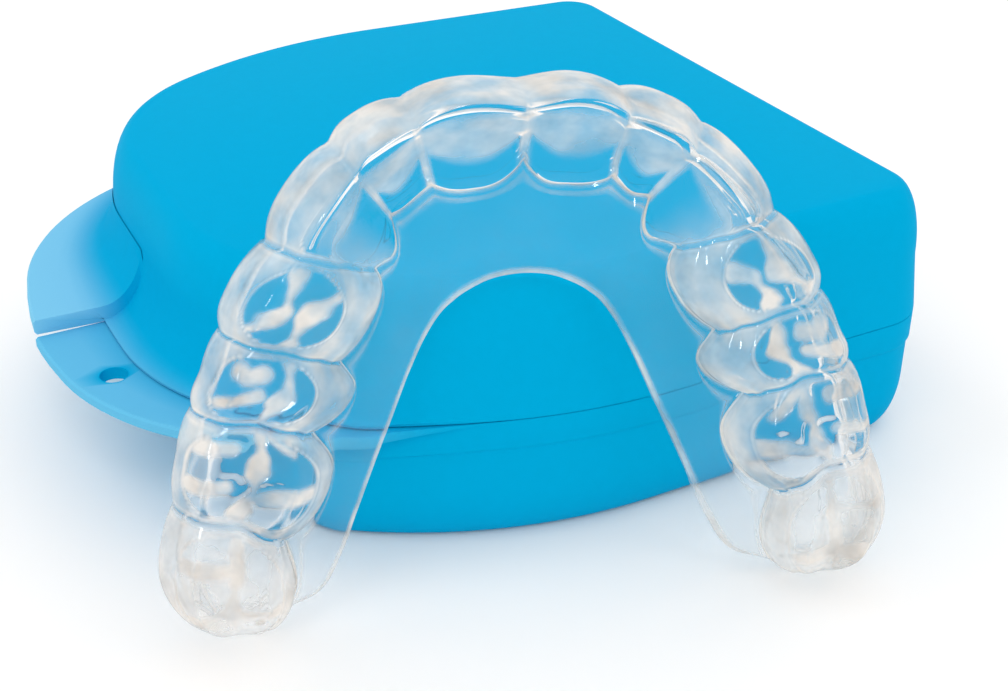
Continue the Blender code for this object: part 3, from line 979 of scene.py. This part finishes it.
def fissures(arch, across, half_width):
    """1 in the fissures of the chewing faces and 0 away from them."""
    along = arch.along[:, None]
    half_length = arch.half_length[:, None]
    found = np.zeros(across.shape)
    for tooth, strokes in FISSURES.items():
        here = (arch.tooth == tooth)[:, None]
        for number, stroke in enumerate(strokes):
            away = stroke_distance(along, across, stroke, half_length, half_width)
            phase = 1.9 * number + 1.3 * tooth + 0.8 * arch.side[:, None]
            ripple = np.sin(1.7 * along * half_length + 1.1 * across + phase)
            ripple = ripple + 0.35 * np.sin(4.1 * along * half_length - 2.9 * across + 2.0 * phase)
            away = away + FISSURE_WANDER * ripple
            swell = 1.0 + FISSURE_SWELL * np.sin(1.3 * along * half_length + 2.0 * across + 1.7 * phase)
            band = smooth((FISSURE_HALF_WIDTH * swell - away) / FISSURE_EDGE + 0.5)
            found = np.maximum(found, np.where(here, band, 0.0))
    return found


def back_haze_and_sheen(arch, along, across, place, fissure):
    """The back teeth: milky walls, and a clear window in the chewing face with milky fissures; the milk is
    partly the sheet's haze and partly painted reflection.
    """
    square = np.where(arch.tooth == 3, 2.3, 3.4)[:, None]
    premolar = np.isin(arch.tooth, (3, 4))[:, None]
    sideways = np.abs(across - 0.20 * premolar) / np.where(premolar, 1.28, 1.45)
    reach = ((along / 0.86) ** square + sideways ** square) ** (1.0 / square)
    window = smooth((1.0 - reach) / 0.16 + 0.5)
    clear = np.where(arch.tooth == 6, LAST_MOLAR_HAZE_SHEEN, CLEAR_HAZE_SHEEN)[:, None]
    wall = mixed(WALL_HAZE_SHEEN[0], WALL_HAZE_SHEEN[1], smooth((place - 10.0) / 3.0))
    found = wall * (1.0 - window) + clear * window
    found = np.maximum(found, FISSURE_HAZE_SHEEN * fissure * window)
    found = np.maximum(found, WINDOW_RIM_HAZE_SHEEN * np.exp(-((reach - 1.0) / 0.045) ** 2))
    join = smooth((along - 0.74) / 0.14)
    clear_line = 1.0 - 0.9 * smooth((along - 0.92) / 0.05)
    return np.maximum(found, JOIN_HAZE_SHEEN * join) * clear_line


def front_haze_and_sheen(arch, along, place):
    """The front teeth: milky towards the cheek and between teeth, with a stripe on the tongue side; partly
    the sheet's haze and partly painted reflection.
    """
    labial = 1.0 - smooth((place - 6.6) / 0.6)
    start = np.where(arch.tooth == 2, 8.6, 9.6)[:, None]
    end = np.where(arch.tooth == 2, 11.2, 13.2)[:, None] + 1.2 * (1.0 - along ** 2)
    stripe = smooth((place - start) / 0.8) * (1.0 - smooth((place - end) / 1.0))
    found = np.maximum(LABIAL_HAZE_SHEEN * labial, STRIPE_HAZE_SHEEN * stripe)
    return np.maximum(found, FRONT_JOIN_HAZE_SHEEN * smooth((along - 0.84) / 0.12))


def haze_and_sheen_map(arch, across, fissure):
    """How milky the sheet looks from the cheek rim to the gum crease, haze with painted reflection of the
    bright surroundings. place counts control points.
    """
    along = np.abs(arch.along[:, None])
    place = np.arange(across.shape[1])[None, :] / SECTION_STEPS
    back = back_haze_and_sheen(arch, along, across, place, fissure)
    found = mixed(front_haze_and_sheen(arch, along, place), back, arch.back[:, None])
    return np.maximum(found, CREASE_HAZE_SHEEN * smooth((place - 17.9) / 0.5))


def cusps(arch, across):
    """The gentle bowl of the chewing face between its cusps, in mm."""
    bowl = np.cos(0.5 * pi * np.clip(across, -1.0, 1.0)) * (1.0 - np.abs(arch.along[:, None]) ** 3)
    return -BOWL_DEPTH * bowl * arch.back[:, None]


def rounded_end(share, least):
    """1 away from the arch's end, falling as a quarter circle to the root of least at the end."""
    return np.sqrt(np.clip(1.0 - np.clip(1.0 - share, 0.0, 1.0) ** 2, least, 1.0))


def blurred(values, reach):
    """Each column smoothed along the arch with a bell of the given reach in stations."""
    spread = np.arange(-3 * reach, 3 * reach + 1)
    bell = np.exp(-0.5 * (spread / reach) ** 2)
    bell /= bell.sum()
    padded = np.pad(values, ((3 * reach, 3 * reach), (0, 0)), mode="reflect", reflect_type="odd")
    return np.stack([np.convolve(column, bell, mode="valid") for column in padded.T], axis=1)


def guard_face(arch, inset, power, fissure_depth):
    """One face of the sheet: stations by section points, as places in mm and as milkiness, haze with
    painted reflection.
    """
    sizes = arch.sizes(power)
    u, z, edge, inner = section_controls(arch, sizes, inset)
    u = b_spline(u, SECTION_STEPS)
    z = b_spline(z, SECTION_STEPS)
    half_width = 0.5 * (edge - inner)[:, None]
    across = (u - 0.5 * (edge + inner)[:, None]) / half_width
    on_top = z > -3.5 - inset
    fissure = np.where(on_top, fissures(arch, across, half_width), 0.0)
    z = z + np.where(on_top, cusps(arch, across), 0.0)
    z = z - fissure_depth * fissure * smooth((1.08 - np.abs(across)) / 0.3)
    haze_and_sheen = haze_and_sheen_map(arch, across, fissure)

    to_end = np.maximum(arch.to_end - inset, 0.0)
    narrow = rounded_end(to_end / HEEL_WIDTH_RUN, 0.03)
    low = rounded_end(to_end / HEEL_HEIGHT_RUN, 0.0)
    u = u * narrow[:, None]
    side = smooth((u + 1.5) / 3.0)[:, :, None]
    heading = arch.out[:, None, :] * side + arch.into[:, None, :] * (1.0 - side)
    plan = arch.centre[:, None, :] + heading * u[:, :, None]

    band_count = 4 * SECTION_STEPS
    share = (np.arange(band_count) + 1.0)[None, :, None] / band_count
    crease = plan[:, -1:, :]
    crease_z = z[:, -1:]
    even = blurred(plan[:, -1], CREASE_BLUR)[:, None, :]
    even_z = blurred(z[:, -1:], CREASE_BLUR)
    scallop = np.exp(-(share / CREASE_FADE) ** 2)
    band = even * (1.0 - share) + arch.flange[:, None, :] * share + (crease - even) * scallop
    share = share[:, :, 0]
    scallop = scallop[:, :, 0]
    edge_z = mixed(GUM_EDGE, FLANGE_EDGE - inset, smooth(arch.to_end / FLANGE_RISE))[:, None]
    band_z = even_z * (1.0 - share) + edge_z * share + 0.7 * np.sin(pi * share ** 0.8)
    band_z = band_z + (crease_z - even_z) * scallop
    plan = np.concatenate([plan, band], axis=1)
    z = np.concatenate([z, band_z], axis=1)
    floor = GUM_EDGE + (edge_z - GUM_EDGE) * np.linspace(0.0, 1.0, z.shape[1])[None, :]
    z = floor + (z - floor) * low[:, None]

    width = np.linalg.norm(arch.flange[:, None, :] - even, axis=2)
    past_crease = share * width
    # Milky lines past the crease and at the free edge: haze with painted reflection.
    first_line = CREASE_HAZE_SHEEN * np.exp(-(past_crease / 0.22) ** 2)
    second_line = SECOND_LINE_HAZE_SHEEN * np.exp(-((past_crease - 0.85) / 0.22) ** 2)
    free_edge = FREE_EDGE_HAZE_SHEEN * smooth((past_crease - width + 0.8) / 0.6)
    lines = np.maximum(first_line, second_line)
    band_haze_and_sheen = np.maximum(np.maximum(lines, free_edge), PALATE_HAZE_SHEEN)
    haze_and_sheen = np.concatenate([haze_and_sheen, band_haze_and_sheen], axis=1)
    return np.concatenate([plan, z[:, :, None]], axis=2), haze_and_sheen


def make_guard():
    """The sheet, from its outer and inner faces, then turned and moved to lean on the case."""
    arch = Arch()
    outside, haze_and_sheen = guard_face(arch, 0.0, OUTSIDE_NOTCH, OUTSIDE_FISSURE)
    inside, _ = guard_face(arch, SHEET, INSIDE_NOTCH, INSIDE_FISSURE)
    rings = np.concatenate([outside, inside[:, ::-1]], axis=1)
    count, size = rings.shape[:2]
    points = rings.reshape(-1, 3) * MM
    guard = make_piece("mouthguard_sheet", points, tube_faces(count, size), clear_sheet(), sharp=80.0)
    matt = np.zeros((count, size), dtype=np.float32)
    matt[:, outside.shape[1]:] = 1.0
    guard.data.attributes.new("matt", "FLOAT", "POINT").data.foreach_set("value", matt.ravel())
    # The milk map, on the outer face only: haze with painted reflection.
    haze_and_sheen_layer = np.zeros((count, size), dtype=np.float32)
    haze_and_sheen_layer[:, :outside.shape[1]] = haze_and_sheen
    guard.data.attributes.new("haze_and_sheen", "FLOAT", "POINT").data.foreach_set("value", haze_and_sheen_layer.ravel())
    turn = Matrix.Rotation(GUARD_YAW, 3, "Z") @ Matrix.Rotation(GUARD_TILT, 3, "X")
    turn = turn @ Matrix.Rotation(GUARD_ROLL, 3, "Y")
    placed = Matrix.Translation((GUARD_X, GUARD_Y, GUARD_Z)) @ turn.to_4x4()
    guard.data.transform(placed)
    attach(guard, "guard")
    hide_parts("mouthguard")


# ================================================================ studio
CAMERA_AT = Vector((-66.97 * MM, -138.23 * MM, 91.71 * MM))
CAMERA_DOWN = radians(26.76)
CAMERA_TURN = radians(-25.85)
CAMERA_LENS = 53.57
CAMERA_SHIFT = (0.0418, -0.1046)
FLOOR_SIZE = 6.0
DAYLIGHT = 1.03

# Each light's name, place and size in metres, power in watts, and whether it shows only as a
# reflection. All of them face the middle of the floor.
LIGHTS = (
    ("key", (-0.35, 0.25, 0.70), 0.30, 0.4, False),
    ("front", (-0.15, -0.50, 0.60), 0.20, 0.5, False),
    ("shine_front", (-0.15, -0.50, 0.60), 0.20, 3.2, True),
    ("shine_left", (-0.50, -0.35, 0.35), 0.16, 1.8, True),
)


def make_camera():
    data = bpy.data.cameras.new("camera")
    data.lens = CAMERA_LENS
    data.sensor_width = 36.0
    data.shift_x, data.shift_y = CAMERA_SHIFT
    data.clip_start = 0.005
    camera = bpy.data.objects.new("camera", data)
    camera.location = CAMERA_AT
    camera.rotation_euler = Euler((0.5 * pi - CAMERA_DOWN, 0.0, CAMERA_TURN))
    bpy.context.scene.collection.objects.link(camera)
    bpy.context.scene.camera = camera


def make_area_light(name, place, size, power, shine_only):
    data = bpy.data.lights.new(name, "AREA")
    data.shape = "DISK"
    data.size = size
    data.energy = power
    light = bpy.data.objects.new(name, data)
    light.location = place
    light.visible_diffuse = not shine_only
    light.visible_transmission = not shine_only
    light.rotation_euler = (-Vector(place)).to_track_quat("-Z", "Y").to_euler()
    bpy.context.scene.collection.objects.link(light)


def make_studio():
    """A plain pale floor, even daylight all round and four small lights."""
    bpy.ops.mesh.primitive_plane_add(size=FLOOR_SIZE, location=(0.0, 0.0, 0.0))
    floor = bpy.context.object
    floor.name = "floor"
    floor.data.materials.append(floor_paper())

    world = bpy.data.worlds.new("studio")
    bpy.context.scene.world = world
    world.use_nodes = True
    background = world.node_tree.nodes["Background"]
    background.inputs["Color"].default_value = WHITE
    background.inputs["Strength"].default_value = DAYLIGHT
    for light in LIGHTS:
        make_area_light(*light)
    bpy.context.scene.view_settings.view_transform = "Standard"


make_camera()
make_studio()
make_case()
make_guard()
